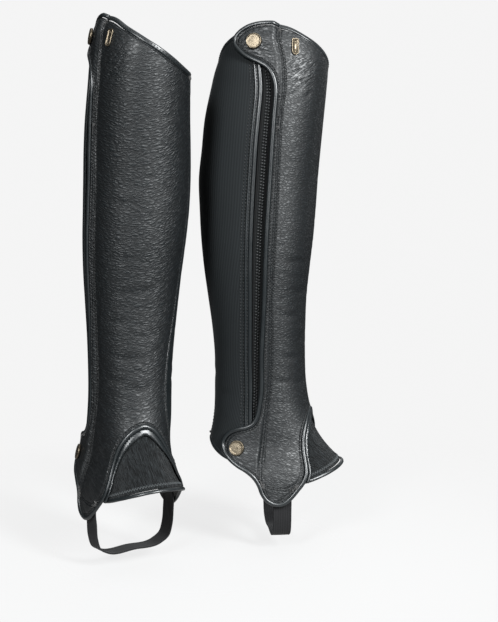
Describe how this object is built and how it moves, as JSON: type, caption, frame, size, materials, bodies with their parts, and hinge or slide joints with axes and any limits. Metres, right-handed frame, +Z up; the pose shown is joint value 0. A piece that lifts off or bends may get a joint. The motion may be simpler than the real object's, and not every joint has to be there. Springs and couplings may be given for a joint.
{
  "type": "pair of half chaps",
  "caption": "Pair of black leather half chaps, filled out as when worn: arched flaps, an outer zip under a piped edge, two snapped tabs, a stretch calf panel and a strap below each foot.",
  "frame": {"origin": "midway between the two chaps, 350 mm above the soles of the feet, where the wearer's legs hold them", "axes": "+Z up the legs; +X to the right and -Y towards a viewer who sees both outer sides"},
  "size_m": [0.2702, 0.2044, 0.5149],
  "materials": {
    "grain_leather": "satin",
    "smooth_leather": "satin",
    "piping_leather": "polished",
    "stretch_cloth": "matte",
    "napped_cloth": "matte",
    "zip_black": "matte",
    "elastic": "matte",
    "aged_brass": "satin"
  },
  "bodies": {
    "root": {"front_panel_1": "grain_leather", "placket_1": "grain_leather", "flap_patch_1": "smooth_leather", "inner_panel_1": "smooth_leather", "stretch_panel_1": "stretch_cloth", "zip_strip_1": "smooth_leather", "zip_1": "zip_black", "gusset_1": "napped_cloth", "arch_facing_1": "smooth_leather", "gusset_binding_1": "piping_leather", "top_binding_1": "piping_leather", "piping_1": "piping_leather", "hem_binding_1": "piping_leather", "strap_1": "elastic", "top_snap_1": "aged_brass", "ankle_snap_1": "aged_brass", "plate_1": "aged_brass", "front_panel_2": "grain_leather", "placket_2": "grain_leather", "flap_patch_2": "smooth_leather", "inner_panel_2": "smooth_leather", "stretch_panel_2": "stretch_cloth", "zip_strip_2": "smooth_leather", "zip_2": "zip_black", "gusset_2": "napped_cloth", "arch_facing_2": "smooth_leather", "gusset_binding_2": "piping_leather", "top_binding_2": "piping_leather", "piping_2": "piping_leather", "hem_binding_2": "piping_leather", "strap_2": "elastic", "top_snap_2": "aged_brass", "ankle_snap_2": "aged_brass", "plate_2": "aged_brass"}
  },
  "joints": []
}
